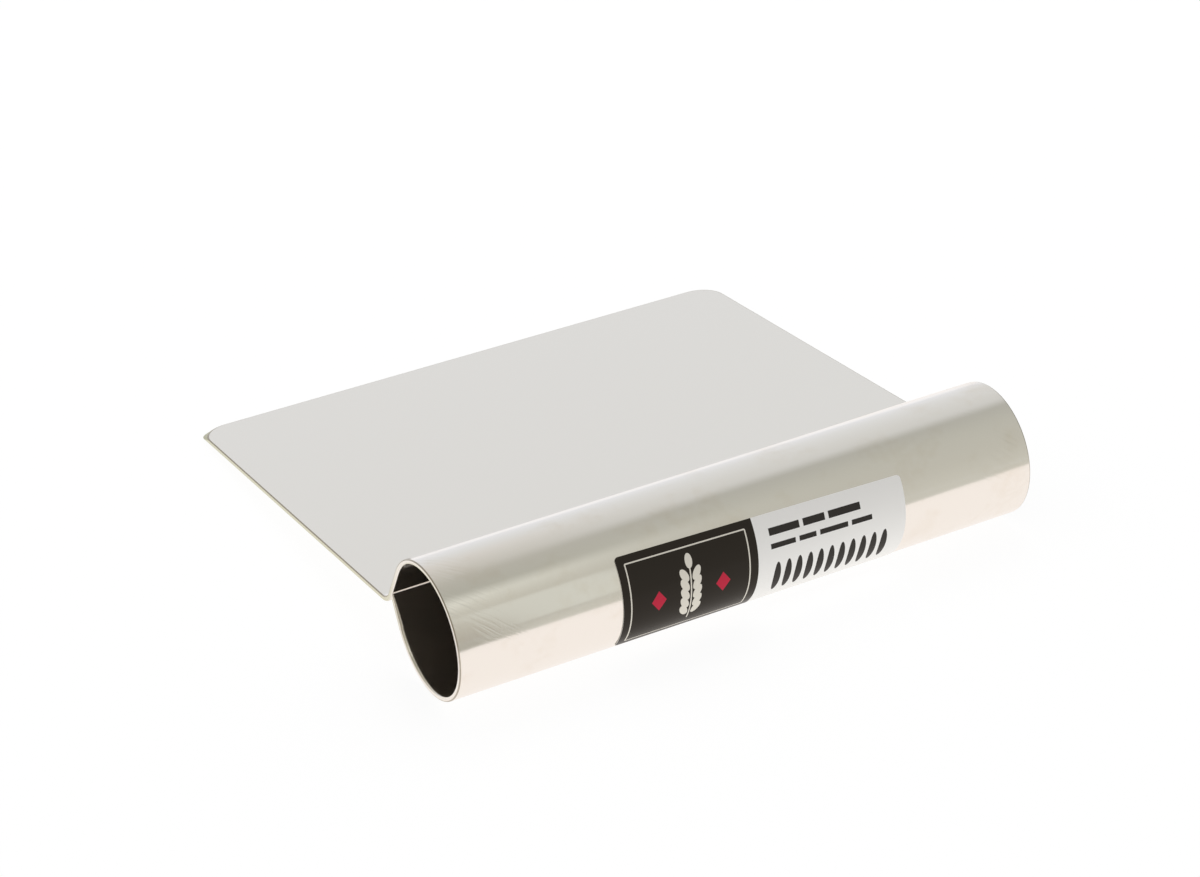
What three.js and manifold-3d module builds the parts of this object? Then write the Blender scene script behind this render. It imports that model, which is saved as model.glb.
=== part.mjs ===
// Dough scraper made from one strip of stiff stainless sheet. The flat blade is bent up at its back edge
// into a short neck, and the rest of the strip is rolled into an open tube that serves as the handle.
// A paper label is stuck round the front of the handle.
//
// Millimetres, +Z up. The scraper lies as it does on a table: the handle runs along X, and the blade
// slopes down from it along +Y until its far edge touches the table.

import * as THREE from 'three';
import { mergeVertices } from 'three/addons/utils/BufferGeometryUtils.js';
import Module from 'manifold-3d';

const wasm = await Module();
wasm.setup();

const { degToRad } = THREE.MathUtils;

// Driving dimensions of the steel strip
const stripWidth = 120; // length of the handle, and width of the blade
const sheetThickness = 1;
const handleDiameter = 26; // outside the roll
const bladeReach = 104; // from the handle's axis to the far edge, along the blade
const bladeDrop = 0.7; // from the handle's axis down to the blade's upper face
const cornerRadius = 5; // far corners of the blade
const bendRadius = 4; // inside the bend between blade and neck
const neckAngle = degToRad(34); // where the neck leaves the roll, up from the blade's direction
const lipAngle = degToRad(-20); // where the roll ends in a straight lip
const seamGap = 0.13; // slit between the lip's free edge and the neck

// Driving dimensions of the label
const labelLength = 59.5; // along the handle
const labelHeight = 20; // round the handle
const labelThickness = 0.1;
const labelCorner = 0.8;
const glueThickness = 0.05; // between the handle and the label
const labelShift = 2; // label's middle from the handle's middle, along the handle
const labelAngle = degToRad(188); // label's middle round the handle: 90 degrees is up, 180 the front
const labelTwist = degToRad(-1.4); // how far askew the label is stuck on

// Fineness of the round stretches
const facetAngle = degToRad(5);
const labelFacetAngle = degToRad(2.5); // finer, for the label's rounded corners
const labelColumns = 8; // along the handle, so that a label stuck on askew follows the round
const cutterMargin = 3; // how far a cutter stands out past what it cuts

// Worked out from the driving dimensions
const handleRadius = handleDiameter / 2;
const boreRadius = handleRadius - sheetThickness;
const bladeUnderside = bladeDrop + sheetThickness;

// The handle's bottom and the blade's lower far edge lie on the same table.
const restingTilt =
  Math.asin(handleRadius / Math.hypot(bladeReach, bladeUnderside)) - Math.atan2(bladeUnderside, bladeReach);
const farthestPoint = bladeReach * Math.cos(restingTilt) - bladeDrop * Math.sin(restingTilt);
const axisSetback = (farthestPoint - handleRadius) / 2; // handle's axis behind the middle of the outline

function polar(radius, angle) {
  return new THREE.Vector2(radius * Math.cos(angle), radius * Math.sin(angle));
}

function arcPoints(centre, radius, from, to) {
  const steps = Math.ceil(Math.abs(to - from) / facetAngle);
  return Array.from({ length: steps + 1 }, (_, step) =>
    polar(radius, from + ((to - from) * step) / steps).add(centre)
  );
}

// Closed meshes go through merged vertices to solids, and come back as plain geometry.
function toSolid(geometry) {
  const bare = geometry.clone();
  bare.deleteAttribute('normal');
  bare.deleteAttribute('uv');
  const merged = mergeVertices(bare);
  const vertProperties = new Float32Array(merged.attributes.position.array);
  const triVerts = new Uint32Array(merged.index.array);
  return new wasm.Manifold(new wasm.Mesh({ numProp: 3, vertProperties, triVerts }));
}

function toGeometry(solid) {
  const mesh = solid.getMesh();
  const geometry = new THREE.BufferGeometry();
  geometry.setAttribute('position', new THREE.BufferAttribute(mesh.vertProperties, 3));
  geometry.setIndex(new THREE.BufferAttribute(mesh.triVerts, 1));
  geometry.computeVertexNormals();
  return geometry;
}

// Section of the strip across the handle: first coordinate along the blade, second upwards, with the
// handle's axis at zero. The outline runs in along the blade's upper face, up the neck, round the outside
// of the roll to the lip, and back along the inside.
function stripSection() {
  const axis = new THREE.Vector2();
  const neckRun =
    ((handleRadius + bendRadius) * Math.sin(neckAngle) + bladeDrop - bendRadius) / Math.cos(neckAngle);
  const alongNeck = polar(neckRun, neckAngle - Math.PI / 2);
  const bendCentre = polar(handleRadius + bendRadius, neckAngle).add(alongNeck);
  const bendStart = -Math.PI / 2;
  const bendEnd = neckAngle - Math.PI;

  // The lip's free edge lies parallel to the neck.
  const lipTurn = neckAngle - lipAngle;
  const rollEnd = lipAngle + 2 * Math.PI;
  const lipCorner = (radius) => {
    const lipRun = (boreRadius - seamGap - radius * Math.cos(lipTurn)) / Math.sin(lipTurn);
    return polar(radius, lipAngle).add(polar(lipRun, lipAngle + Math.PI / 2));
  };

  return [
    new THREE.Vector2(bladeReach, -bladeDrop),
    ...arcPoints(bendCentre, bendRadius, bendStart, bendEnd),
    ...arcPoints(axis, handleRadius, neckAngle, rollEnd),
    lipCorner(handleRadius),
    lipCorner(boreRadius),
    ...arcPoints(axis, boreRadius, rollEnd, neckAngle),
    ...arcPoints(bendCentre, bendRadius + sheetThickness, bendEnd, bendStart),
    new THREE.Vector2(bladeReach, -bladeUnderside),
  ];
}

// What is trimmed off one far corner of the blade, seen from above: side is 1 at the +X end, -1 at the other.
function cornerOffcut(side) {
  const roundCentre = new THREE.Vector2(stripWidth / 2 - cornerRadius, bladeReach - cornerRadius);
  const outerX = stripWidth / 2 + cutterMargin;
  const outerY = bladeReach + cutterMargin;
  const outline = [
    ...arcPoints(roundCentre, cornerRadius, Math.PI / 2, 0),
    new THREE.Vector2(outerX, roundCentre.y),
    new THREE.Vector2(outerX, outerY),
    new THREE.Vector2(roundCentre.x, outerY),
  ];
  const shape = new THREE.Shape(outline.map((point) => new THREE.Vector2(side * point.x, point.y)));
  const depth = sheetThickness + 2 * cutterMargin;
  const offcut = new THREE.ExtrudeGeometry(shape, { depth, bevelEnabled: false });
  return offcut.translate(0, 0, -bladeUnderside - cutterMargin);
}

function rolledSheet() {
  const section = new THREE.Shape(stripSection());
  const strip = new THREE.ExtrudeGeometry(section, { depth: stripWidth, bevelEnabled: false });
  const [alongX, alongY, alongZ] = [0, 1, 2].map((axis) => new THREE.Vector3().setComponent(axis, 1));
  strip.applyMatrix4(new THREE.Matrix4().makeBasis(alongY, alongZ, alongX));
  strip.translate(-stripWidth / 2, 0, 0);

  const trimmed = [1, -1].reduce(
    (solid, side) => solid.subtract(toSolid(cornerOffcut(side))),
    toSolid(strip)
  );
  const steel = new THREE.MeshStandardMaterial({ color: 0xd9d8d5, roughness: 0.28, metalness: 1 });
  const mesh = new THREE.Mesh(toGeometry(trimmed), steel);
  mesh.name = 'rolled_sheet';
  return mesh;
}

// Half the label's length at a distance from its middle, up or down: less where the corners are rounded.
function labelHalfLength(fromMiddle) {
  const intoCorner = Math.max(0, Math.abs(fromMiddle) - (labelHeight / 2 - labelCorner));
  return labelLength / 2 - labelCorner + Math.sqrt(Math.max(0, labelCorner ** 2 - intoCorner ** 2));
}

// A flat label is rounded at its corners, turned a little askew and wrapped round the handle.
function label() {
  const underRadius = handleRadius + glueThickness;
  const rows = Math.ceil(labelHeight / underRadius / labelFacetAngle);
  const paper = new THREE.BoxGeometry(labelLength, labelHeight, labelThickness, labelColumns, rows, 1);
  const points = paper.attributes.position;
  for (let index = 0; index < points.count; index += 1) {
    const flat = new THREE.Vector2(points.getX(index), points.getY(index));
    flat.x *= labelHalfLength(flat.y) / (labelLength / 2);
    flat.rotateAround(new THREE.Vector2(), labelTwist);
    const radius = underRadius + labelThickness / 2 + points.getZ(index);
    const wrapped = polar(radius, labelAngle - flat.y / underRadius);
    points.setXYZ(index, labelShift + flat.x, wrapped.x, wrapped.y);
  }
  paper.computeVertexNormals();

  const print = new THREE.MeshStandardMaterial({ color: 0xd5d4d2, roughness: 0.45, metalness: 0 });
  const mesh = new THREE.Mesh(paper, print);
  mesh.name = 'label';
  return mesh;
}

// The scraper tips about its handle until both the handle and the far edge lie on the table.
const lying = new THREE.Group();
lying.add(rolledSheet(), label());
lying.rotation.x = -restingTilt;
lying.position.set(0, -axisSetback, handleRadius);

const scraper = new THREE.Group();
scraper.add(lying);

export default scraper;
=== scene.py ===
"""Dough scraper rolled from one strip of stainless sheet, with a paper label on its handle.

Metres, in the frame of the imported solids: the handle runs along X, the blade slopes down from it
along +Y until its far edge touches the table, and Z points up. Each piece is first made with the
handle's axis at zero and the blade level, and is laid down on the table last.
"""

from __future__ import annotations

import logging
import math
from collections.abc import Callable, Mapping, Sequence
from dataclasses import dataclass, field, replace
from enum import Enum

import bmesh
import bpy
from mathutils import Matrix, Quaternion, Vector


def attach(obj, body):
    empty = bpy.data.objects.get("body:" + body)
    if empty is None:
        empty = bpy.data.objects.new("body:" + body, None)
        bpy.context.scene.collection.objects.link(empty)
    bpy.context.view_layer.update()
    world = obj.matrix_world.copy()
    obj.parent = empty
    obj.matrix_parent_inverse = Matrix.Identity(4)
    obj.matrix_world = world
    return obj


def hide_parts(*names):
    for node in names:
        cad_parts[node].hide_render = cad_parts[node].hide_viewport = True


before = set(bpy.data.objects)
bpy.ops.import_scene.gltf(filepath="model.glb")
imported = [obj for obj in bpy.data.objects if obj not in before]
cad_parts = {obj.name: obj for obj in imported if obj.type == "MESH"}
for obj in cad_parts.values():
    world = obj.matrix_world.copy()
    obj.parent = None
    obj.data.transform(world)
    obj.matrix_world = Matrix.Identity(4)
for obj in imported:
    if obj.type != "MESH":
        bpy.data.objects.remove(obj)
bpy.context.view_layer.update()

LOG = logging.getLogger("dough_scraper")
BODY = "root"
MM = 0.001
AXIS_X = Vector((1, 0, 0))
WHITE = "#FFFFFF"
SMOOTH_ANGLE = math.radians(40)
FLAT = 1e6  # stretch that takes the depth out of a flat pattern

# Sockets of the Mix node for colours, which have the same names as those for numbers
MIX_SHARE, MIX_FIRST, MIX_LAST, MIX_RESULT = 0, 6, 7, 2

Tree = bpy.types.NodeTree
Socket = bpy.types.NodeSocket
Piece = bpy.types.Object
Tones = tuple[tuple[float, str], ...]


class Ray(Enum):
    """Kinds of ray that Light Path tells apart."""

    CAMERA = "Is Camera Ray"
    GLOSSY = "Is Glossy Ray"
    TRANSMISSION = "Is Transmission Ray"


class Slot(Enum):
    """Material slots of the record."""

    STEEL = "stainless_sheet"
    PAPER = "label_paper"


class Face(Enum):
    """Faces of the sheet, by the number of their material."""

    OUTER = 0
    CUT = 1
    INNER = 2
    SHOULDER = 3
    GROUND = 4


class Ink(Enum):
    """Colours printed on the label, as sRGB hex values."""

    BLACK = "#322D27"
    PALE = "#F6F4F0"
    CREAM = "#E6E0D3"
    GREY = "#3A3734"
    RED = "#C42D45"


class Form(Enum):
    """Forms of a printed mark, by how the distance from its middle is measured."""

    OVAL = "length"
    BAR = "greater side"
    LOZENGE = "sum of sides"


def linear(colour: str) -> tuple[float, float, float, float]:
    """Turns an sRGB hex colour into linear light.

    Args:
        colour: six hex digits after a hash.

    Returns:
        Red, green, blue and an alpha of one.
    """
    parts = [int(colour[start:start + 2], 16) / 255 for start in (1, 3, 5)]
    red, green, blue = (p / 12.92 if p <= 0.04045 else ((p + 0.055) / 1.055) ** 2.4 for p in parts)
    return red, green, blue, 1.0


def add_node(
    tree: Tree,
    kind: str,
    settings: Mapping[str, object] | None = None,
    inputs: Mapping[str | int, object] | None = None,
    stops: Sequence[tuple[float, str]] = (),
) -> bpy.types.Node:
    """Adds a node with its settings and links.

    Args:
        tree: node tree that takes the node.
        kind: the node's type, without the leading ShaderNode.
        settings: properties to set on the node.
        inputs: values or sockets for its inputs, by name or number.
        stops: places and hex colours for a colour ramp.

    Returns:
        The new node.
    """
    node = tree.nodes.new(f"ShaderNode{kind}")
    for name, value in (settings or {}).items():
        setattr(node, name, value)
    for key, value in (inputs or {}).items():
        if isinstance(value, Socket):
            tree.links.new(value, node.inputs[key])
        else:
            node.inputs[key].default_value = value
    for number, (place, colour) in enumerate(stops):
        elements = node.color_ramp.elements
        element = elements[number] if number < len(elements) else elements.new(place)
        element.position = place
        element.color = linear(colour)
    return node


def blend(tree: Tree, value: Socket, ends: Tones) -> Socket:
    """Blends one tone into another along a value.

    Args:
        tree: node tree to add to.
        value: socket with the value.
        ends: where the blend begins and where it ends, each with its hex colour.

    Returns:
        A socket with the colour.
    """
    (low, first), (high, last) = ends
    share = add_node(tree, "MapRange", inputs={"Value": value, "From Min": low, "From Max": high})
    return add_node(
        tree,
        "Mix",
        {"data_type": "RGBA"},
        {MIX_SHARE: share.outputs["Result"], MIX_FIRST: linear(first), MIX_LAST: linear(last)},
    ).outputs[MIX_RESULT]


def flat_place(tree: Tree, uv_map: str, flat_size: tuple[float, float]) -> Socket:
    """Gives the place on a piece before it was bent, from its UV map.

    Args:
        tree: node tree to add to.
        uv_map: the piece's UV map.
        flat_size: size of the flat piece, in metres.

    Returns:
        A socket with the place, in millimetres from the lower left corner.
    """
    uv = add_node(tree, "UVMap", {"uv_map": uv_map}).outputs[0]
    size = (*(side / MM for side in flat_size), 1.0)
    return add_node(tree, "VectorMath", {"operation": "MULTIPLY"}, {0: uv, 1: size}).outputs[0]


def add_surface(tree: Tree, inputs: Mapping[str, object]) -> None:
    """Ends a material's tree with the shader of its surface.

    Args:
        tree: node tree to end.
        inputs: values or sockets for the shader's inputs, by name.
    """
    shader = add_node(tree, "BsdfPrincipled", inputs=inputs)
    add_node(tree, "OutputMaterial", inputs={"Surface": shader.outputs["BSDF"]})


def new_material(name: str) -> tuple[bpy.types.Material, Tree]:
    """Makes an empty node material.

    Args:
        name: the material's name.

    Returns:
        The material and its node tree.
    """
    material = bpy.data.materials.new(name)
    material.use_nodes = True
    material.node_tree.nodes.clear()
    return material, material.node_tree


def polar(radius: float, angle: float) -> Vector:
    """Gives the point at a radius and an angle round the handle's axis, up from the blade."""
    return Vector((0, radius * math.cos(angle), radius * math.sin(angle)))


def add_plane(name: str, width: float, length: float) -> Piece:
    """Adds a level plane of a given size, in edit mode and with nothing else selected.

    Args:
        name: name of the object and of its UV map.
        width: size along X.
        length: size along Y.

    Returns:
        The new object.
    """
    bpy.ops.object.select_all(action="DESELECT")
    bpy.ops.mesh.primitive_plane_add(size=1)
    plane = bpy.context.object
    plane.name = plane.data.name = plane.data.uv_layers[0].name = name
    plane.scale = (width, length, 1)
    bpy.ops.object.transform_apply()
    bpy.ops.object.mode_set(mode="EDIT")
    bpy.ops.mesh.select_mode(type="VERT")
    return plane


def select_points(piece: Piece, wanted: Callable[[Vector], bool]) -> None:
    """Selects vertices by their place, in edit mode.

    Args:
        piece: object in edit mode.
        wanted: test of a vertex's place.
    """
    bpy.ops.mesh.select_mode(type="VERT")
    bpy.ops.mesh.select_all(action="DESELECT")
    mesh = bmesh.from_edit_mesh(piece.data)
    for vertex in mesh.verts:
        vertex.select = wanted(vertex.co)
    mesh.select_flush_mode()
    bmesh.update_edit_mesh(piece.data)


def round_corners(radius: float, segments: int) -> None:
    """Rounds the selected corners of a flat piece, in edit mode."""
    bpy.ops.mesh.bevel(offset=radius, segments=segments, affect="VERTICES")


def score(stations: Sequence[float]) -> None:
    """Cuts a flat piece across at stations along Y, in edit mode, so that it can bend there."""
    for station in stations:
        bpy.ops.mesh.select_all(action="SELECT")
        bpy.ops.mesh.bisect(plane_co=(0, station, 0), plane_no=(0, 1, 0))


def bend(
    piece: Piece,
    start: Vector,
    along: Vector,
    towards: Vector,
    span: tuple[float, float],
    radius: float,
) -> None:
    """Bends a stretch of a sheet round a former, and carries what lies past it along straight.

    Args:
        piece: object to bend.
        start: point on the sheet that stays where it is.
        along: direction of the sheet at that point, across the former.
        towards: direction from that point to the former's axis.
        span: where the bent stretch begins and ends, along the flat sheet from the start.
        radius: radius of the bent face.
    """
    former = bpy.data.objects.new("former", None)
    bpy.context.scene.collection.objects.link(former)
    turn = Matrix((along, towards, along.cross(towards))).transposed().to_4x4()
    former.matrix_world = Matrix.Translation(start) @ turn
    bpy.context.view_layer.update()

    reach = [along.dot(vertex.co - start) for vertex in piece.data.vertices]
    low, high = min(reach), max(reach)
    modifier = piece.modifiers.new("bend", "SIMPLE_DEFORM")
    modifier.deform_method = "BEND"
    modifier.deform_axis = "Z"
    modifier.origin = former
    modifier.angle = (span[1] - span[0]) / radius
    modifier.limits = [(edge - low) / (high - low) for edge in span]
    bpy.ops.object.modifier_apply(modifier=modifier.name)
    bpy.data.objects.remove(former)


def apply_modifier(piece: Piece, kind: str, **settings: object) -> None:
    """Adds a modifier with its settings and applies it.

    Args:
        piece: active object.
        kind: the modifier's type.
        settings: properties to set on it.
    """
    modifier = piece.modifiers.new(kind.lower(), kind)
    for name, value in settings.items():
        setattr(modifier, name, value)
    bpy.ops.object.modifier_apply(modifier=modifier.name)


@dataclass(frozen=True)
class RolledSteel:
    """Stainless sheet with a bright cold-rolled face.

    The rolls leave it close to a mirror with a faint haze, and with a very fine grain along the
    strip. It shows the studio as soft-edged bands on the handle and as one even tone on the blade.
    Fingers leave faint brownish smudges on the handle. Rolling it leaves slight ripples near its
    ends, and fine scuffs that lie askew. Sizes of patterns are in millimetres.
    """

    uv_map: str
    flat_size: tuple[float, float]
    roll_end: float
    name: str = "stainless_steel_bright_rolled"
    clean: str = "#F4F0EB"
    smudged: str = "#ECE4D9"
    roughness: tuple[float, float] = (0.14, 0.17)
    worked: bool = True
    smudge_size: float = 10.0
    smudge_share: tuple[float, float] = (0.52, 0.86)
    smudge_detail: float = 7.0
    smudge_breakup: float = 0.66
    grain_size: tuple[float, float] = (0.3, 18.0)
    grain_depth: float = 0.0024
    scuff_size: tuple[float, float] = (0.55, 8.0)
    scuff_turn: float = math.radians(48)
    scuff_share: tuple[float, float] = (0.45, 0.6)
    stroke_share: tuple[float, float] = (0.52, 0.68)
    scuff_depth: float = 0.011
    scuff_haze: float = 0.12
    ripple_size: tuple[float, float] = (11.0, 8.0)
    ripple_depth: float = 0.1
    worked_reach: float = 17.0

    def material(self) -> bpy.types.Material:
        """Makes the material.

        Returns:
            The material, patterned along the flat strip in millimetres.
        """
        material, tree = new_material(self.name)
        place = flat_place(tree, self.uv_map, self.flat_size)
        parts = add_node(tree, "SeparateXYZ", inputs={0: place})
        on_roll = add_node(
            tree, "Math", {"operation": "LESS_THAN"}, {0: parts.outputs["Y"], 1: self.roll_end / MM}
        ).outputs[0]

        blotches = add_node(
            tree,
            "TexNoise",
            inputs={
                "Vector": place,
                "Scale": 1 / self.smudge_size,
                "Detail": self.smudge_detail,
                "Roughness": self.smudge_breakup,
            },
        ).outputs["Fac"]
        low, high = self.smudge_share
        patches = add_node(
            tree, "MapRange", inputs={"Value": blotches, "From Min": low, "From Max": high}
        ).outputs["Result"]
        smudges = add_node(
            tree, "Math", {"operation": "MULTIPLY"}, {0: patches, 1: on_roll}
        ).outputs[0]
        ends = ((0.0, self.clean), (1.0, self.smudged))
        tone = add_node(tree, "ValToRGB", inputs={"Fac": smudges}, stops=ends)
        clear, hazy = self.roughness
        haze = add_node(
            tree, "MapRange", inputs={"Value": smudges, "To Min": clear, "To Max": hazy}
        ).outputs["Result"]
        # The real grain is about 0.05 mm wide: it is drawn six times coarser, so that it shows.
        grain = self.streaks(tree, place, self.grain_size)
        height = add_node(
            tree, "Math", {"operation": "MULTIPLY"}, {0: grain, 1: self.grain_depth}
        ).outputs[0]
        if self.worked:
            near_ends = self.near_ends(tree, parts.outputs["X"], on_roll)
            ripples = self.streaks(tree, place, self.ripple_size)
            # Real scuffs are hairlines: they too are drawn coarser, so that they show.
            scratches = self.streaks(tree, place, self.scuff_size, self.scuff_turn)
            strokes, worn = (
                add_node(
                    tree, "MapRange", inputs={"Value": pattern, "From Min": low, "From Max": high}
                ).outputs["Result"]
                for pattern, (low, high) in (
                    (scratches, self.stroke_share),
                    (ripples, self.scuff_share),
                )
            )
            where, waves = (
                add_node(
                    tree, "Math", {"operation": "MULTIPLY"}, {0: pattern, 1: near_ends}
                ).outputs[0]
                for pattern in (worn, ripples)
            )
            scuffs = add_node(
                tree, "Math", {"operation": "MULTIPLY"}, {0: strokes, 1: where}
            ).outputs[0]
            for pattern, depth in ((scuffs, -self.scuff_depth), (waves, self.ripple_depth)):
                height = add_node(
                    tree, "Math", {"operation": "MULTIPLY_ADD"}, {0: pattern, 1: depth, 2: height}
                ).outputs[0]
            haze = add_node(
                tree,
                "Math",
                {"operation": "MULTIPLY_ADD"},
                {0: scuffs, 1: self.scuff_haze, 2: haze},
            ).outputs[0]

        relief = add_node(tree, "Bump", inputs={"Height": height, "Strength": 1.0, "Distance": MM})
        add_surface(
            tree,
            {
                "Base Color": tone.outputs["Color"],
                "Metallic": 1.0,
                "Roughness": haze,
                "Normal": relief.outputs["Normal"],
            },
        )
        return material

    def streaks(
        self, tree: Tree, place: Socket, size: tuple[float, float], turn: float = 0.0
    ) -> Socket:
        """Draws streaks of one size.

        Args:
            tree: node tree to add to.
            place: place on the flat strip, in millimetres.
            size: width and length of a streak, in millimetres.
            turn: how far askew the streaks lie.

        Returns:
            A socket with the streaks, from zero to one.
        """
        stretched = add_node(
            tree,
            "Mapping",
            {"vector_type": "TEXTURE"},
            {"Vector": place, "Rotation": (0, 0, turn), "Scale": (*size, 1.0)},
        )
        return add_node(
            tree, "TexNoise", inputs={"Vector": stretched.outputs[0], "Scale": 1.0, "Detail": 1.0}
        ).outputs["Fac"]

    def near_ends(self, tree: Tree, across: Socket, on_roll: Socket) -> Socket:
        """Tells how near a place on the roll is to the handle's ends.

        Args:
            tree: node tree to add to.
            across: place across the flat strip, in millimetres.
            on_roll: one on the roll and zero elsewhere.

        Returns:
            A socket that is one at the ends of the roll and zero in its middle and on the blade.
        """
        half_width = self.flat_size[0] / MM / 2
        offset = add_node(tree, "Math", {"operation": "SUBTRACT"}, {0: across, 1: half_width})
        aside = add_node(tree, "Math", {"operation": "ABSOLUTE"}, {0: offset.outputs[0]})
        start = half_width - self.worked_reach
        near = add_node(
            tree,
            "MapRange",
            inputs={"Value": aside.outputs[0], "From Min": start, "From Max": half_width},
        )
        return add_node(
            tree, "Math", {"operation": "MULTIPLY"}, {0: near.outputs["Result"], 1: on_roll}
        ).outputs[0]


@dataclass(frozen=True)
class ShearedSteel:
    """Cut edge of the stainless strip.

    A guillotine leaves a finely torn face: it scatters light, so it reads as a plain pale line.
    """

    name: str = "stainless_steel_sheared_edge"
    pale: str = "#F4F1EC"
    dull: str = "#E6E1D9"
    roughness: float = 0.18
    tone_span: tuple[float, float] = (0.4, 0.75)
    # The real tears are finer: they are drawn this coarse, so that they show.
    tear_width: float = 0.25 * MM
    tear_depth: float = 0.02 * MM
    tear_strength: float = 0.25

    def material(self) -> bpy.types.Material:
        """Makes the material.

        Returns:
            The material, patterned in object space.
        """
        material, tree = new_material(self.name)
        place = add_node(tree, "TexCoord").outputs["Object"]
        tears = add_node(
            tree, "TexNoise", inputs={"Vector": place, "Scale": 1 / self.tear_width, "Detail": 2.0}
        ).outputs["Fac"]
        tone = add_node(
            tree,
            "ValToRGB",
            inputs={"Fac": tears},
            stops=tuple(zip(self.tone_span, (self.pale, self.dull))),
        )
        relief = add_node(
            tree,
            "Bump",
            inputs={"Height": tears, "Strength": self.tear_strength, "Distance": self.tear_depth},
        )
        add_surface(
            tree,
            {
                "Base Color": tone.outputs["Color"],
                "Metallic": 1.0,
                "Roughness": self.roughness,
                "Normal": relief.outputs["Normal"],
            },
        )
        return material


@dataclass(frozen=True)
class Mark:
    """One printed mark, in millimetres from the flat label's lower left corner."""

    form: Form
    ink: Ink
    centre: tuple[float, float]
    half: tuple[float, float]
    turn: float = 0.0


@dataclass(frozen=True)
class PlainPrint:
    """Plain marks on the label, in millimetres.

    An ear of wheat stands in a thin frame, and blank word blocks over a row of grains.
    """

    ear_foot: tuple[float, float] = (13.8, 3.4)
    bare_stem: float = 2.6
    tip_rise: float = 0.6
    grain_aside: float = 1.25
    grain_half: tuple[float, float] = (0.72, 1.4)
    grain_pitch: float = 1.85
    grain_pairs: int = 5
    lean: float = math.radians(28)
    lozenge_half: tuple[float, float] = (1.5, 2.0)
    lozenge_aside: float = 6.6
    frame_middle: tuple[float, float] = (13.8, 10.0)
    frame_half: tuple[float, float] = (12.2, 8.4)
    line: float = 0.13
    words_left: float = 30.6
    word_gap: float = 0.8
    words: tuple[tuple[float, float, tuple[float, ...]], ...] = (
        (16.6, 0.7, (6.4, 4.6, 6.8)),
        (13.9, 0.5, (5.2, 3.6, 6.0, 4.4)),
    )
    row_first: tuple[float, float] = (32.0, 7.0)
    row_half: tuple[float, float] = (0.75, 3.6)
    row_pitch: float = 2.3
    row_count: int = 11

    def ear(self) -> list[Mark]:
        """Sets out a stem, leaning pairs of grains, one grain on top and a lozenge on either side.

        Returns:
            The marks of the ear.
        """
        x, y = self.ear_foot
        first = y + self.bare_stem
        top = first + self.grain_pairs * self.grain_pitch
        marks = [
            Mark(Form.BAR, Ink.CREAM, (x, (y + top) / 2), (self.line, (top - y) / 2)),
            Mark(Form.OVAL, Ink.CREAM, (x, top + self.tip_rise), self.grain_half),
        ]
        for side in (-1, 1):
            beside = (x + side * self.lozenge_aside, self.frame_middle[1])
            marks.append(Mark(Form.LOZENGE, Ink.RED, beside, self.lozenge_half))
            for pair in range(self.grain_pairs):
                centre = (x + side * self.grain_aside, first + pair * self.grain_pitch)
                grain = Mark(Form.OVAL, Ink.CREAM, centre, self.grain_half, -side * self.lean)
                marks.append(grain)
        return marks

    def frame(self) -> list[Mark]:
        """Sets out the four lines of the frame round the ear.

        Returns:
            The uprights, then the level lines.
        """
        (x, y), (w, h) = self.frame_middle, self.frame_half
        upright = [((x + side * w, y), (self.line, h)) for side in (-1, 1)]
        level = [((x, y + side * h), (w, self.line)) for side in (-1, 1)]
        return [Mark(Form.BAR, Ink.CREAM, centre, half) for centre, half in upright + level]

    def word_blocks(self) -> list[Mark]:
        """Sets out the rows of blank word blocks, the first one bolder.

        Returns:
            The blocks, row by row.
        """
        marks = []
        for height, half_height, widths in self.words:
            left = self.words_left
            for width in widths:
                middle = (left + width / 2, height)
                marks.append(Mark(Form.BAR, Ink.GREY, middle, (width / 2, half_height)))
                left += width + self.word_gap
        return marks

    def grain_row(self) -> list[Mark]:
        """Sets out the row of upright grains.

        Returns:
            The grains, from left to right.
        """
        x, y = self.row_first
        places = [(x + number * self.row_pitch, y) for number in range(self.row_count)]
        return [Mark(Form.OVAL, Ink.GREY, place, self.row_half) for place in places]

    def marks(self) -> list[Mark]:
        """Gives all the marks in the order of printing."""
        return self.frame() + self.ear() + self.word_blocks() + self.grain_row()


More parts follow.
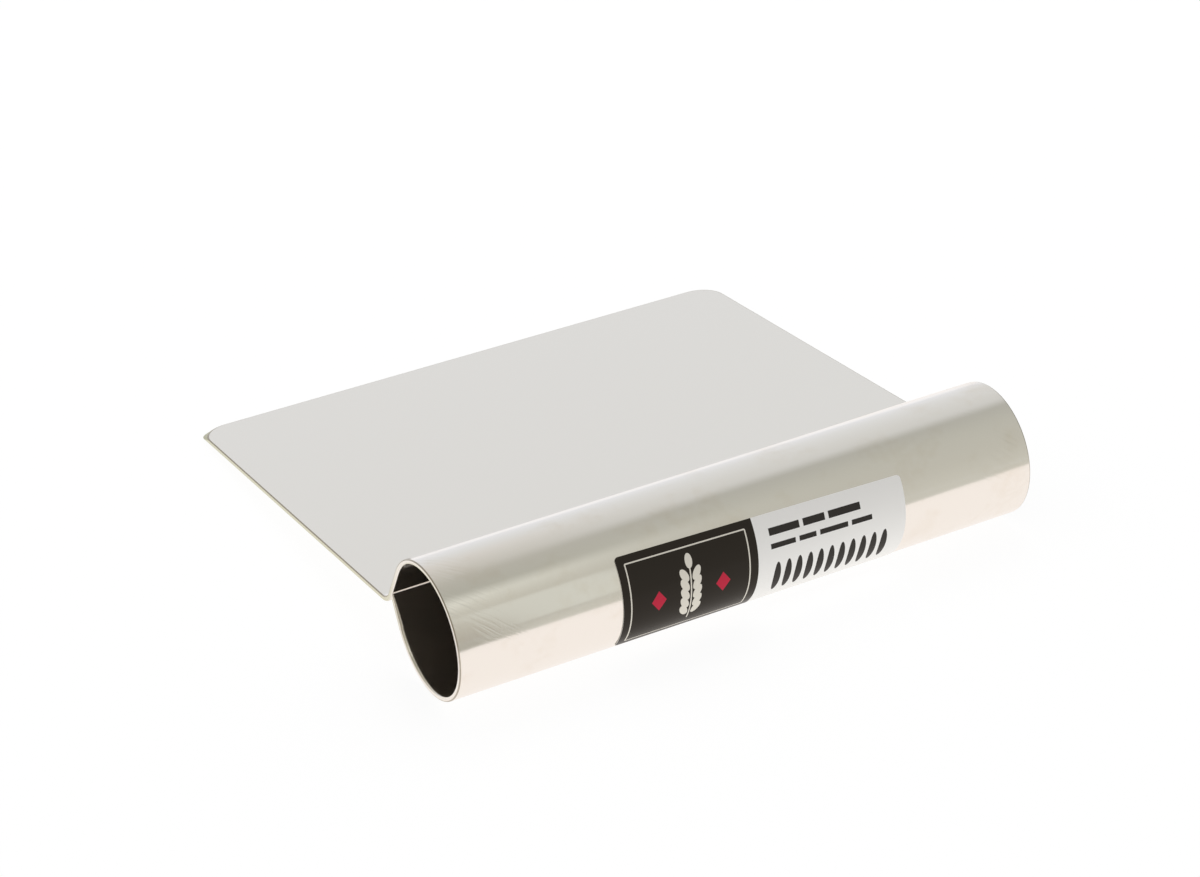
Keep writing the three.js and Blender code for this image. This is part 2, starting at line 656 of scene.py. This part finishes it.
@dataclass(frozen=True)
class PrintedPaper:
    """Coated self-adhesive paper, printed and varnished.

    Flat inks under a satin varnish: solid black on one panel and near white on the other, each with
    a few plain marks, and a soft sheen where the label turns to the light.
    """

    uv_map: str
    flat_size: tuple[float, float]
    dark_width: float
    layout: PlainPrint = PlainPrint()
    name: str = "coated_paper_printed_satin"
    roughness: float = 0.24
    varnish: float = 0.075
    speckle_size: float = 0.4
    speckle_strength: float = 0.1
    speckle_depth: float = 0.01 * MM

    def material(self) -> bpy.types.Material:
        """Makes the material.

        Returns:
            The material, printed in millimetres of the flat label.
        """
        material, tree = new_material(self.name)
        place = flat_place(tree, self.uv_map, self.flat_size)
        across = add_node(tree, "SeparateXYZ", inputs={0: place}).outputs["X"]
        pale_side = add_node(
            tree, "Math", {"operation": "GREATER_THAN"}, {0: across, 1: self.dark_width / MM}
        ).outputs[0]
        colour = add_node(
            tree,
            "Mix",
            {"data_type": "RGBA"},
            {
                MIX_SHARE: pale_side,
                MIX_FIRST: linear(Ink.BLACK.value),
                MIX_LAST: linear(Ink.PALE.value),
            },
        ).outputs[MIX_RESULT]
        for mark in self.layout.marks():
            colour = add_node(
                tree,
                "Mix",
                {"data_type": "RGBA"},
                {
                    MIX_SHARE: self.inside(tree, place, mark),
                    MIX_FIRST: colour,
                    MIX_LAST: linear(mark.ink.value),
                },
            ).outputs[MIX_RESULT]

        speckle = add_node(
            tree,
            "TexNoise",
            inputs={"Vector": place, "Scale": 1 / self.speckle_size, "Detail": 2.0},
        )
        relief = add_node(
            tree,
            "Bump",
            inputs={
                "Height": speckle.outputs["Fac"],
                "Strength": self.speckle_strength,
                "Distance": self.speckle_depth,
            },
        )
        add_surface(
            tree,
            {
                "Base Color": colour,
                "Roughness": self.roughness,
                "Specular IOR Level": self.varnish,
                "Normal": relief.outputs["Normal"],
            },
        )
        return material

    def inside(self, tree: Tree, place: Socket, mark: Mark) -> Socket:
        """Tells whether a place on the flat label lies in a mark.

        Args:
            tree: node tree to add to.
            place: place on the flat label, in millimetres.
            mark: the mark.

        Returns:
            A socket that is one inside the mark and zero outside.
        """
        scaled = add_node(
            tree,
            "Mapping",
            {"vector_type": "TEXTURE"},
            {
                "Vector": place,
                "Location": (*mark.centre, 0),
                "Rotation": (0, 0, mark.turn),
                "Scale": (*mark.half, FLAT),
            },
        ).outputs[0]
        if mark.form is Form.OVAL:
            away = add_node(
                tree, "VectorMath", {"operation": "LENGTH"}, {0: scaled}
            ).outputs["Value"]
        else:
            sides = add_node(tree, "VectorMath", {"operation": "ABSOLUTE"}, {0: scaled})
            apart = add_node(tree, "SeparateXYZ", inputs={0: sides.outputs[0]})
            operation = "MAXIMUM" if mark.form is Form.BAR else "ADD"
            away = add_node(
                tree,
                "Math",
                {"operation": operation},
                {0: apart.outputs["X"], 1: apart.outputs["Y"]},
            ).outputs[0]
        return add_node(tree, "Math", {"operation": "LESS_THAN"}, {0: away, 1: 1.0}).outputs[0]


@dataclass(frozen=True)
class PaperCore:
    """Cut edge and back of the label's paper: bare white fibre, matt and pale beside the ink."""

    name: str = "paper_core_die_cut"
    pale: str = "#F1EFEA"
    dull: str = "#E2DFD8"
    tone_span: tuple[float, float] = (0.4, 0.7)
    roughness: float = 0.85
    # Paper fibres are about 0.03 mm wide: they are drawn five times coarser, so that they show.
    fibre_size: float = 0.15 * MM

    def material(self) -> bpy.types.Material:
        """Makes the material.

        Returns:
            The material, patterned in object space.
        """
        material, tree = new_material(self.name)
        place = add_node(tree, "TexCoord").outputs["Object"]
        fibres = add_node(
            tree, "TexNoise", inputs={"Vector": place, "Scale": 1 / self.fibre_size, "Detail": 3.0}
        )
        tone = add_node(
            tree,
            "ValToRGB",
            inputs={"Fac": fibres.outputs["Fac"]},
            stops=tuple(zip(self.tone_span, (self.pale, self.dull))),
        )
        add_surface(tree, {"Base Color": tone.outputs["Color"], "Roughness": self.roughness})
        return material


@dataclass
class RolledSheet:
    """One strip of stainless sheet: flat blade, bend, short neck and rolled handle."""

    name: str = "sheet"
    node: str = "rolled_sheet"
    strip_width: float = 120 * MM
    thickness: float = 1 * MM
    handle_radius: float = 13 * MM
    blade_reach: float = 104 * MM
    blade_drop: float = 0.7 * MM
    corner_radius: float = 5.8 * MM
    corner_foot: float = 1.9 * MM
    bend_radius: float = 4 * MM
    neck_angle: float = math.radians(34)
    lip_angle: float = math.radians(-20)
    seam_gap: float = 0.13 * MM
    trim: float = 0.6 * MM
    lip_land: float = 0.45 * MM
    lip_relief: float = math.radians(30)
    die_roll: float = 0.22 * MM
    edge_break: float = 0.25 * MM
    mouth_break: float = 0.8 * MM
    roll_facet: float = math.radians(2)
    bend_facet: float = math.radians(4)
    corner_segments: int = 14
    edge_segments: int = 4
    neck_clear: float = 0.2 * MM
    slack: float = 0.05 * MM
    fine_slack: float = 0.005 * MM
    hair: float = 0.001 * MM
    piece: Piece | None = field(default=None, init=False)

    @property
    def bore_radius(self) -> float:
        """Radius inside the roll."""
        return self.handle_radius - self.thickness

    @property
    def bend_angle(self) -> float:
        """How far the neck turns up from the blade."""
        return math.pi / 2 - self.neck_angle

    @property
    def roll_angle(self) -> float:
        """How far the strip is rolled, from the neck to the lip."""
        return 2 * math.pi + self.lip_angle - self.neck_angle

    @property
    def neck_run(self) -> float:
        """Length of the straight neck."""
        rise = (self.handle_radius + self.bend_radius) * math.sin(self.neck_angle)
        return (rise + self.blade_drop - self.bend_radius) / math.cos(self.neck_angle)

    @property
    def lip_run(self) -> float:
        """Length of the straight lip before it is trimmed, a little more than it needs."""
        turn = self.neck_angle - self.lip_angle
        bore = self.bore_radius
        return (bore - self.seam_gap - bore * math.cos(turn)) / math.sin(turn) + self.trim

    @property
    def lip_corner(self) -> Vector:
        """Inner corner of the lip's free edge, beside the neck."""
        along = polar(self.lip_run - self.trim, self.lip_angle + math.pi / 2)
        return polar(self.bore_radius, self.lip_angle) + along

    @property
    def blade_start(self) -> float:
        """Where the flat of the blade begins, from the handle's axis."""
        centre = polar(self.handle_radius + self.bend_radius, self.neck_angle)
        return centre.y + self.neck_run * math.sin(self.neck_angle)

    @property
    def flat_length(self) -> float:
        """Length of the strip before it is bent, along its outer face."""
        rolled = self.handle_radius * self.roll_angle + self.bend_radius * self.bend_angle
        return self.blade_reach - self.blade_start + rolled + self.neck_run + self.lip_run

    @property
    def resting_tilt(self) -> float:
        """How far the scraper tips until handle and far edge both lie on the table."""
        underside = self.blade_drop + self.thickness
        span = math.hypot(self.blade_reach, underside)
        return math.asin(self.handle_radius / span) - math.atan2(underside, self.blade_reach)

    def lay_down(self, piece: Piece) -> None:
        """Tips a piece about the handle's axis on to the table, and puts its place into its mesh.

        Args:
            piece: active object, made with the handle's axis at zero.
        """
        tilt = self.resting_tilt
        farthest = self.blade_reach * math.cos(tilt) - self.blade_drop * math.sin(tilt)
        piece.rotation_euler = (-tilt, 0, 0)
        piece.location = (0, (self.handle_radius - farthest) / 2, self.handle_radius)
        bpy.ops.object.transform_apply()

    def cut_blank(self) -> Piece:
        """Cuts the flat strip, rounds its far corners and scores it where it is to bend.

        Returns:
            The blank, with its upper face where the blade's is.
        """
        blank = add_plane(self.name, self.strip_width, self.flat_length)
        middle = self.blade_reach - self.flat_length / 2
        bpy.ops.transform.translate(value=(0, middle, -self.blade_drop))
        select_points(blank, lambda point: point.y > self.blade_start)
        round_corners(self.corner_radius, self.corner_segments)

        stretches = (
            (self.blade_start, self.bend_radius, self.bend_angle, self.bend_facet),
            (
                self.blade_start - self.bend_radius * self.bend_angle - self.neck_run,
                self.handle_radius,
                self.roll_angle,
                self.roll_facet,
            ),
        )
        for first, radius, angle, facet in stretches:
            steps = math.ceil(angle / facet)
            score([first - radius * angle * step / steps for step in range(steps + 1)])
        bpy.ops.object.mode_set(mode="OBJECT")
        return blank

    def build(self) -> Piece:
        """Bends and rolls the blank, and gives it its thickness.

        Returns:
            The finished sheet.
        """
        sheet = self.cut_blank()
        bend(
            sheet,
            start=Vector((0, self.blade_start, -self.blade_drop)),
            along=Vector((0, -1, 0)),
            towards=Vector((0, 0, 1)),
            span=(0, self.bend_radius * self.bend_angle),
            radius=self.bend_radius,
        )
        bend(
            sheet,
            start=polar(self.handle_radius, self.neck_angle),
            along=polar(1, self.neck_angle + math.pi / 2),
            towards=polar(-1, self.neck_angle),
            span=(0, self.handle_radius * self.roll_angle),
            radius=self.handle_radius,
        )
        self.add_finishes(sheet)
        apply_modifier(
            sheet,
            "SOLIDIFY",
            thickness=self.thickness,
            offset=-1,
            use_even_offset=True,
            material_offset=Face.INNER.value,
            material_offset_rim=Face.CUT.value,
        )
        self.grind_corners(sheet)
        self.break_edges(sheet)
        self.flare_mouth(sheet)
        self.trim_lip(sheet)
        self.lay_down(sheet)
        bpy.ops.object.shade_smooth_by_angle(angle=SMOOTH_ANGLE)
        apply_modifier(sheet, "WEIGHTED_NORMAL", keep_sharp=True, weight=100)
        self.piece = sheet
        return sheet

    def add_finishes(self, sheet: Piece) -> None:
        """Adds the finishes of the outer face, the cut edges and the inner face.

        Args:
            sheet: object that takes the materials.
        """
        flat = (self.strip_width, self.flat_length)
        roll_end = self.lip_run + self.handle_radius * self.roll_angle
        bright = RolledSteel(self.name, flat, roll_end)
        cut = ShearedSteel()
        # The shear drags the outer face over the edge into a shoulder, toned greyer than the cut.
        shoulder = replace(
            cut,
            name="stainless_steel_sheared_shoulder",
            pale="#B9B2A6",
            dull="#A39C90",
            roughness=0.3,
        )
        # Rounded on a grinding belt, the corners are matt; their tone is set a little greyer.
        ground = replace(
            cut, name="stainless_steel_belt_ground", pale="#D9D8C9", dull="#C9C8B9", roughness=0.45
        )
        # Inside the roll the sheet isn't handled, so it keeps the mill's softer haze.
        mill = replace(
            bright,
            name="stainless_steel_mill_rolled",
            clean="#DCD5CC",
            smudged="#D2CABF",
            roughness=(0.21, 0.25),
            worked=False,
        )
        finishes = {
            Face.OUTER: bright,
            Face.CUT: cut,
            Face.INNER: mill,
            Face.SHOULDER: shoulder,
            Face.GROUND: ground,
        }
        for face in Face:
            sheet.data.materials.append(finishes[face].material())

    def grind_corners(self, sheet: Piece) -> None:
        """Slants the rounded far corners, so that the lower face reaches farther out.

        Args:
            sheet: active object, with its thickness.
        """
        floor = -self.blade_drop - self.thickness
        reach = self.corner_radius + self.slack
        share = self.corner_foot / self.corner_radius
        bpy.ops.object.mode_set(mode="EDIT")
        for side in (-1, 1):
            corner = Vector((side * self.strip_width / 2, self.blade_reach, floor))
            low = corner - Vector((reach, reach, self.slack))
            high = corner + Vector((reach, reach, self.slack))
            select_points(
                sheet, lambda point: all(a < p < b for a, p, b in zip(low, point, high))
            )
            bpy.ops.transform.resize(value=(share, share, 1), center_override=corner)
        bpy.ops.object.mode_set(mode="OBJECT")

    def trim_lip(self, sheet: Piece) -> None:
        """Cuts the lip's free edge parallel to the neck and relieves it outwards.

        The edge stops short of the neck by the seam's gap.

        Args:
            sheet: active object, with its thickness.
        """
        root, out = polar(self.handle_radius, self.lip_angle), polar(1, self.lip_angle)
        along = polar(1, self.lip_angle + math.pi / 2)
        land_end = self.lip_corner + self.lip_land * polar(1, self.neck_angle - math.pi / 2)
        slack = self.slack
        cuts = (
            (self.lip_corner, polar(1, self.neck_angle)),
            (land_end, polar(1, self.neck_angle - self.lip_relief)),
        )

        def on_lip(point: Vector) -> bool:
            """Tells whether a point is part of the lip."""
            depth = self.handle_radius - out.dot(point)
            return along.dot(point - root) > -slack and -slack < depth < self.thickness + slack

        def on_cut(point: Vector) -> bool:
            """Tells whether a point lies on the lip's free edge."""
            away = min(abs(normal.dot(point - place)) for place, normal in cuts)
            return on_lip(point) and away < self.fine_slack

        bpy.ops.object.mode_set(mode="EDIT")
        for place, normal in cuts:
            select_points(sheet, on_lip)
            bpy.ops.mesh.bisect(
                plane_co=place,
                plane_no=normal,
                use_fill=True,
                clear_outer=True,
                threshold=self.hair,
            )
        select_points(sheet, on_cut)
        sheet.active_material_index = Face.CUT.value
        bpy.ops.object.material_slot_assign()
        bpy.ops.object.mode_set(mode="OBJECT")

    def break_edges(self, sheet: Piece) -> None:
        """Rounds the cut edges, and marks the shoulder, the ground corners and the underside.

        Args:
            sheet: active object, with its thickness.
        """
        bpy.ops.object.mode_set(mode="EDIT")
        bpy.ops.mesh.select_mode(type="EDGE")
        edges = (
            (Face.OUTER, self.die_roll, Face.SHOULDER),
            (Face.INNER, self.edge_break, Face.CUT),
        )
        for face, width, finish in edges:
            bpy.ops.mesh.select_all(action="DESELECT")
            mesh = bmesh.from_edit_mesh(sheet.data)
            for edge in mesh.edges:
                numbers = {side.material_index for side in edge.link_faces}
                edge.select = numbers == {face.value, Face.CUT.value}
            bmesh.update_edit_mesh(sheet.data)
            bpy.ops.mesh.bevel(
                offset=width, segments=self.edge_segments, affect="EDGES", material=finish.value
            )

        past_roll = self.bore_radius - self.hair
        neck_out = polar(1, self.neck_angle)
        corner_x = self.strip_width / 2 - self.corner_radius
        corner_y = self.blade_reach - self.corner_radius
        mesh = bmesh.from_edit_mesh(sheet.data)
        for side in mesh.faces:
            middle = side.calc_center_median()
            from_corner = Vector((abs(middle.x) - corner_x, middle.y - corner_y))
            if side.material_index == Face.CUT.value and min(from_corner) > 0:
                side.material_index = Face.GROUND.value
            elif side.material_index == Face.INNER.value and neck_out.dot(middle) > past_roll:
                side.material_index = Face.OUTER.value
        bmesh.update_edit_mesh(sheet.data)
        bpy.ops.object.mode_set(mode="OBJECT")

    def flare_mouth(self, sheet: Piece) -> None:
        """Draws the broken edge inside the handle's mouths deeper into the roll.

        Args:
            sheet: active object, with its edges broken.
        """
        out, along = polar(1, self.lip_angle), polar(1, self.lip_angle + math.pi / 2)
        neck_out = polar(1, self.neck_angle)
        middle = self.handle_radius - self.thickness / 2
        share = self.mouth_break / self.edge_break

        def inside_roll(point: Vector) -> bool:
            """Tells whether a point is nearer to the sheet's inner face, away from the neck."""
            on_lip = min(out.dot(point), along.dot(point)) > 0
            depth = out.dot(point) if on_lip else math.hypot(point.y, point.z)
            return neck_out.dot(point) < self.bore_radius - self.neck_clear and depth < middle

        bpy.ops.object.mode_set(mode="EDIT")
        for side in (-1, 1):
            end = side * self.strip_width / 2
            edge = abs(end) - self.edge_break - self.slack
            select_points(sheet, lambda point: side * point.x > edge and inside_roll(point))
            bpy.ops.transform.resize(value=(share, 1, 1), center_override=(end, 0, 0))
        bpy.ops.object.mode_set(mode="OBJECT")

    def dress(self) -> None:
        """Puts the sheet in the place of its solid."""
        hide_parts(self.node)
        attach(self.piece, BODY)


@dataclass
class WrapLabel:
    """Self-adhesive paper label, stuck a little askew round the front of the handle."""

    sheet: RolledSheet
    name: str = "label_wrap"
    node: str = "label"
    length: float = 59.5 * MM
    height: float = 20 * MM
    thickness: float = 0.1 * MM
    glue: float = 0.05 * MM
    corner_radius: float = 0.8 * MM
    corner_segments: int = 8
    shift: float = 2 * MM
    angle: float = math.radians(188)
    twist: float = math.radians(-1.4)
    facet: float = math.radians(2)
    dark_width: float = 27.8 * MM
    piece: Piece | None = field(default=None, init=False)

    def build(self) -> Piece:
        """Cuts the flat label, turns it askew and wraps it round the handle.

        Returns:
            The finished label.
        """
        label = add_plane(self.name, self.length, self.height)
        bpy.ops.mesh.select_all(action="SELECT")
        round_corners(self.corner_radius, self.corner_segments)
        bpy.ops.object.mode_set(mode="OBJECT")
        label.rotation_euler = (0, 0, self.twist)
        bpy.ops.object.transform_apply()

        radius = self.sheet.handle_radius + self.glue
        top = max(vertex.co.y for vertex in label.data.vertices)
        steps = math.ceil(2 * top / radius / self.facet)
        bpy.ops.object.mode_set(mode="EDIT")
        score([top * (2 * step / steps - 1) for step in range(1, steps)])
        bpy.ops.object.mode_set(mode="OBJECT")

        middle = polar(radius, self.angle) + self.shift * AXIS_X
        label.rotation_euler = (self.angle - math.pi / 2, 0, 0)
        label.location = middle
        bpy.ops.object.transform_apply()
        bend(
            label,
            start=middle,
            along=polar(1, self.angle - math.pi / 2),
            towards=polar(-1, self.angle),
            span=(-top, top),
            radius=radius,
        )
        printed = PrintedPaper(self.name, (self.length, self.height), self.dark_width)
        for finish in (printed, PaperCore()):
            label.data.materials.append(finish.material())
        apply_modifier(
            label,
            "SOLIDIFY",
            thickness=self.thickness,
            offset=1,
            use_even_offset=True,
            material_offset=1,
            material_offset_rim=1,
        )
        self.sheet.lay_down(label)
        bpy.ops.object.shade_smooth_by_angle(angle=SMOOTH_ANGLE)
        self.piece = label
        return label

    def dress(self) -> None:
        """Puts the label in the place of its solid."""
        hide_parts(self.node)
        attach(self.piece, BODY)


@dataclass
class Studio:
    """White table in a light tent, whose open front is dimmer, with a soft lamp and the camera.

    Tones of the table, the front sheet and the card go by place. Those of the tent go by degrees
    round the handle's direction, and those of its ends by how far a ray points along the handle.
    """

    lens: float = 92.415
    camera_place: tuple[float, float, float] = (-0.2463188, -0.4496304, 0.3162669)
    azimuth: float = math.radians(28.7345)
    elevation: float = math.radians(30.8171)
    roll: float = math.radians(-1.2665)
    table_size: float = 8.0
    front_edge: float = -0.1165
    front_turn: float = math.radians(-11.6)
    front_lift: float = 0.2 * MM
    front_corner: float = 0.006
    front_cut: float = math.radians(39)
    front_tones: Tones = ((-0.078, "#B2B0A5"), (-0.066, "#CECDC3"))
    front_run: tuple[float, float, float] = (1.0, 0.4, 0.0)
    card_size: tuple[float, float] = (0.038, 0.088)
    card_place: tuple[float, float, float] = (0.011, -0.16, 0.066)
    card_tones: Tones = ((-0.008, "#D5D6CD"), (0.008, "#D8D9D0"))
    lamp_place: tuple[float, float, float] = (0.2, 0.5, 1.2)
    lamp_size: float = 0.9
    lamp_watts: float = 2.0
    tent_strength: float = 0.55
    table_light: float = 1.06
    table_glow: float = 0.9
    shadow_paint: str = "#6F6F6F"
    table_tones: Tones = ((-0.05, "#FFF9F4"), (0.15, "#FDFDFF"))
    shade_span: tuple[float, float] = (-0.1, 0.0)
    shade_tones: Tones = (
        (-0.073, WHITE),
        (-0.067, "#E5E7D6"),
        (-0.058, "#E5E7D6"),
        (-0.05, WHITE),
    )
    shade_depth: tuple[float, float] = (-0.03, -0.018)
    tent_tones: Tones = (
        (0.0, "#EEF0F5"),
        (22.0, "#E4E6E7"),
        (55.0, "#DADBD9"),
        (66.0, "#D6D7D5"),
        (80.0, "#B7B7B0"),
        (105.0, "#C0C0B7"),
        (150.0, "#C6C5BB"),
        (180.0, "#CECDC3"),
    )
    left_tones: Tones = (
        (0.0, "#EEF0F5"),
        (22.0, "#E4E6E7"),
        (40.0, "#DDDAD5"),
        (65.0, "#C8C5BC"),
        (104.0, "#AFAFA5"),
        (118.0, "#EBECE2"),
        (136.0, "#CDCBBF"),
        (180.0, "#AEA99E"),
    )
    left_span: tuple[float, float] = (0.42, 0.35)
    end_tones: Tones = (
        (-0.3, "#E2DED5"),
        (-0.05, WHITE),
        (0.58, WHITE),
        (0.8, "#8E897B"),
    )

    def show(
        self, tree: Tree, shown: bpy.types.Node, others: bpy.types.Node, *rays: Ray
    ) -> bpy.types.Node:
        """Shows one shader to some kinds of ray and another one to the rest.

        Args:
            tree: node tree to add to.
            shown: shader for these rays.
            others: shader for the rest.
            rays: kinds of ray.

        Returns:
            The node that holds both.
        """
        path = add_node(tree, "LightPath")
        seen = path.outputs[rays[0].value]
        for ray in rays[1:]:
            seen = add_node(
                tree, "Math", {"operation": "MAXIMUM"}, {0: seen, 1: path.outputs[ray.value]}
            ).outputs[0]
        return add_node(
            tree, "MixShader", inputs={0: seen, 1: others.outputs[0], 2: shown.outputs[0]}
        )

    def add_table(self) -> Piece:
        """Adds the white table, which keeps a faint shadow.

        Returns:
            The table.
        """
        table = add_plane("table", self.table_size, self.table_size)
        bpy.ops.object.mode_set(mode="OBJECT")
        material, tree = new_material("matt_white_table")
        place = add_node(tree, "TexCoord").outputs["Object"]
        parts = add_node(tree, "SeparateXYZ", inputs={0: place})
        tone = blend(tree, parts.outputs["Y"], self.table_tones)
        # Close beside the blade the table lies in the scraper's shade, which the cut edge mirrors.
        aside, beside = (
            add_node(
                tree,
                "MapRange",
                inputs={"Value": parts.outputs[axis], "From Min": low, "From Max": high},
            ).outputs["Result"]
            for axis, (low, high) in (("X", self.shade_span), ("Y", self.shade_depth))
        )
        low, high = self.shade_span
        shade = add_node(
            tree,
            "ValToRGB",
            inputs={0: aside},
            stops=[((x - low) / (high - low), colour) for x, colour in self.shade_tones],
        )
        shaded = add_node(
            tree,
            "Mix",
            {"data_type": "RGBA", "blend_type": "MULTIPLY"},
            {MIX_SHARE: beside, MIX_FIRST: tone, MIX_LAST: shade.outputs["Color"]},
        )
        mirrored = add_node(tree, "Emission", inputs={"Color": shaded.outputs[MIX_RESULT]})
        plain, white = (
            add_node(tree, "Emission", inputs={"Color": linear(WHITE), "Strength": strength})
            for strength in (self.table_light, self.table_glow)
        )
        lit = self.show(tree, mirrored, plain, Ray.GLOSSY)
        paint = add_node(tree, "BsdfDiffuse", inputs={"Color": linear(self.shadow_paint)})
        looked_at = add_node(tree, "AddShader", inputs={0: white.outputs[0], 1: paint.outputs[0]})
        either = self.show(tree, looked_at, lit, Ray.CAMERA)
        add_node(tree, "OutputMaterial", inputs={"Surface": either.outputs[0]})
        table.data.materials.append(material)
        return table

    def add_front_sheet(self) -> Piece:
        """Adds the grey sheet on the table in front, a little askew, its left corner cut off.

        Returns:
            The sheet.
        """
        depth = self.table_size / 2
        sheet = add_plane("grey_front_sheet", self.table_size, depth)
        bpy.ops.transform.translate(value=(0, -depth / 2, 0))
        bpy.ops.mesh.bisect(
            plane_co=(self.front_corner, 0, 0),
            plane_no=(-math.sin(self.front_cut), math.cos(self.front_cut), 0),
            clear_outer=True,
        )
        bpy.ops.object.mode_set(mode="OBJECT")
        sheet.location = (0, self.front_edge, self.front_lift)
        sheet.rotation_euler = (0, 0, self.front_turn)
        return self.show_to_steel(sheet, "grey_studio_paper", self.front_tones, self.front_run)

    def add_card(self) -> Piece:
        """Adds the pale card that stands in front.

        Returns:
            The card.
        """
        card = add_plane("pale_front_card", *self.card_size)
        bpy.ops.object.mode_set(mode="OBJECT")
        card.location = self.card_place
        card.rotation_euler = (math.pi / 2, 0, 0)
        return self.show_to_steel(card, "pale_studio_paper", self.card_tones, AXIS_X)

    def show_to_steel(
        self, piece: Piece, name: str, tones: Tones, run: Sequence[float]
    ) -> Piece:
        """Gives a piece of studio paper two tones that are only seen mirrored.

        Args:
            piece: active object.
            name: the material's name.
            tones: places and hex colours, between which the paper's tone runs.
            run: direction in which the places are measured.

        Returns:
            The same piece.
        """
        bpy.ops.object.transform_apply()
        material, tree = new_material(name)
        place = add_node(tree, "TexCoord").outputs["Object"]
        across = add_node(
            tree, "VectorMath", {"operation": "DOT_PRODUCT"}, {0: place, 1: tuple(run)}
        ).outputs["Value"]
        glow = add_node(tree, "Emission", inputs={"Color": blend(tree, across, tones)})
        add_node(tree, "OutputMaterial", inputs={"Surface": glow.outputs[0]})
        piece.data.materials.append(material)
        for sight in ("camera", "diffuse", "transmission", "volume_scatter", "shadow"):
            setattr(piece, f"visible_{sight}", False)
        return piece

    def add_tent(self) -> None:
        """Sets the world: white to the camera, a tent in the steel, and plain light elsewhere."""
        world = bpy.data.worlds.new("light_tent")
        bpy.context.scene.world = world
        world.use_nodes = True
        tree = world.node_tree
        tree.nodes.clear()
        direction = add_node(tree, "TexCoord").outputs["Generated"]
        parts = add_node(tree, "SeparateXYZ", inputs={0: direction})
        turn = add_node(
            tree, "Math", {"operation": "ARCTAN2"}, {0: parts.outputs["Z"], 1: parts.outputs["Y"]}
        )
        share = add_node(tree, "Math", {"operation": "DIVIDE"}, {0: turn.outputs[0], 1: math.pi})
        front, left = (
            add_node(
                tree,
                "ValToRGB",
                inputs={0: share.outputs[0]},
                stops=[(degrees / 180, colour) for degrees, colour in tones],
            )
            for tones in (self.tent_tones, self.left_tones)
        )
        low, high = self.left_span
        leftness = add_node(
            tree,
            "MapRange",
            inputs={"Value": parts.outputs["X"], "From Min": low, "From Max": high},
        )
        walls = add_node(
            tree,
            "Mix",
            {"data_type": "RGBA"},
            {
                MIX_SHARE: leftness.outputs["Result"],
                MIX_FIRST: front.outputs["Color"],
                MIX_LAST: left.outputs["Color"],
            },
        )
        along = add_node(
            tree, "Math", {"operation": "MULTIPLY_ADD"}, {0: parts.outputs["X"], 1: 0.5, 2: 0.5}
        )
        ends = add_node(
            tree,
            "ValToRGB",
            inputs={0: along.outputs[0]},
            stops=[(0.5 + 0.5 * place, colour) for place, colour in self.end_tones],
        )
        tones = add_node(
            tree,
            "Mix",
            {"data_type": "RGBA", "blend_type": "MULTIPLY"},
            {
                MIX_SHARE: 1.0,
                MIX_FIRST: walls.outputs[MIX_RESULT],
                MIX_LAST: ends.outputs["Color"],
            },
        )
        plain, tent, white = (
            add_node(tree, "Background", inputs={"Color": colour, "Strength": strength})
            for colour, strength in (
                (linear(WHITE), self.tent_strength),
                (tones.outputs[MIX_RESULT], 1.0),
                (linear(WHITE), 1.0),
            )
        )
        mirrored = self.show(tree, tent, plain, Ray.GLOSSY, Ray.TRANSMISSION)
        looked_at = self.show(tree, white, mirrored, Ray.CAMERA)
        add_node(tree, "OutputWorld", inputs={"Surface": looked_at.outputs[0]})

    def add_lamp(self) -> None:
        """Adds one large soft lamp, which lights the label and isn't mirrored in the steel."""
        data = bpy.data.lights.new("soft_lamp", "AREA")
        data.shape = "DISK"
        data.size = self.lamp_size
        data.energy = self.lamp_watts
        lamp = bpy.data.objects.new("soft_lamp", data)
        bpy.context.scene.collection.objects.link(lamp)
        lamp.location = self.lamp_place
        lamp.rotation_euler = (-lamp.location).to_track_quat("-Z", "Y").to_euler()
        lamp.visible_glossy = False

    def add_camera(self) -> None:
        """Adds the camera at the photograph's viewing angle."""
        data = bpy.data.cameras.new("camera")
        data.lens = self.lens
        camera = bpy.data.objects.new("camera", data)
        bpy.context.scene.collection.objects.link(camera)
        ahead = Vector(
            (
                math.sin(self.azimuth) * math.cos(self.elevation),
                math.cos(self.azimuth) * math.cos(self.elevation),
                -math.sin(self.elevation),
            )
        )
        camera.location = self.camera_place
        camera.rotation_mode = "QUATERNION"
        level = ahead.to_track_quat("-Z", "Y")
        camera.rotation_quaternion = level @ Quaternion((0, 0, 1), self.roll)
        bpy.context.scene.camera = camera

    def build(self) -> None:
        """Sets up the table, the light and the camera."""
        self.add_camera()
        self.add_tent()
        self.add_lamp()
        self.add_table()
        self.add_front_sheet()
        self.add_card()
        bpy.context.scene.view_settings.view_transform = "Standard"


def main() -> None:
    """Builds the scraper and its studio."""
    logging.basicConfig(level=logging.INFO, format="%(name)s: %(message)s")
    Studio().build()
    sheet = RolledSheet()
    for part in (sheet, WrapLabel(sheet)):
        piece = part.build()
        part.dress()
        LOG.info("%s: %d faces", piece.name, len(piece.data.polygons))


if __name__ == "__main__":
    main()
